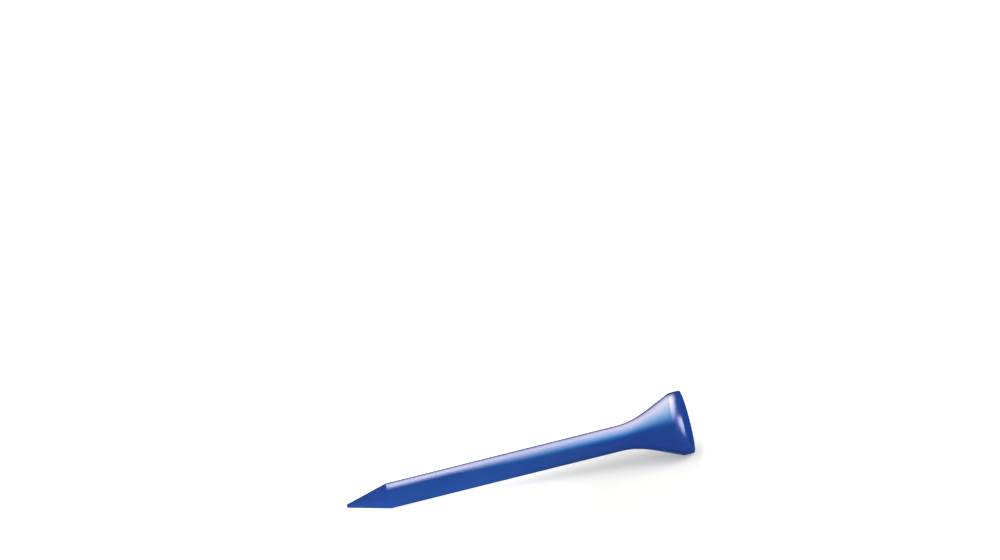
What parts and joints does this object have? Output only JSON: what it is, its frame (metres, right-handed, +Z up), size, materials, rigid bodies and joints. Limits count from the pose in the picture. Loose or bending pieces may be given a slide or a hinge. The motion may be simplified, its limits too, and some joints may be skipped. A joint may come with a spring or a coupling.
{
  "type": "golf tee",
  "caption": "Turned wooden golf tee lying on its side: slim round shaft with a blunt conical point, flared head and a shallow round cup for the ball, glossy blue lacquer.",
  "frame": {"origin": "on the table under the middle of the tee's bounding box, the tee lying on its side at rest", "axes": "+Z up; +X from the point towards the head along the table; the tee's own axis lies in the XZ plane and rises 3.6 degrees towards the head, as it does when the tee rests on its head and on the shoulder above its point"},
  "size_m": [0.0542, 0.0098, 0.0098],
  "materials": {
    "blue_lacquer": "high-gloss royal blue lacquer over turned birch"
  },
  "bodies": {
    "root": {"tee_body": "blue_lacquer"}
  },
  "joints": []
}
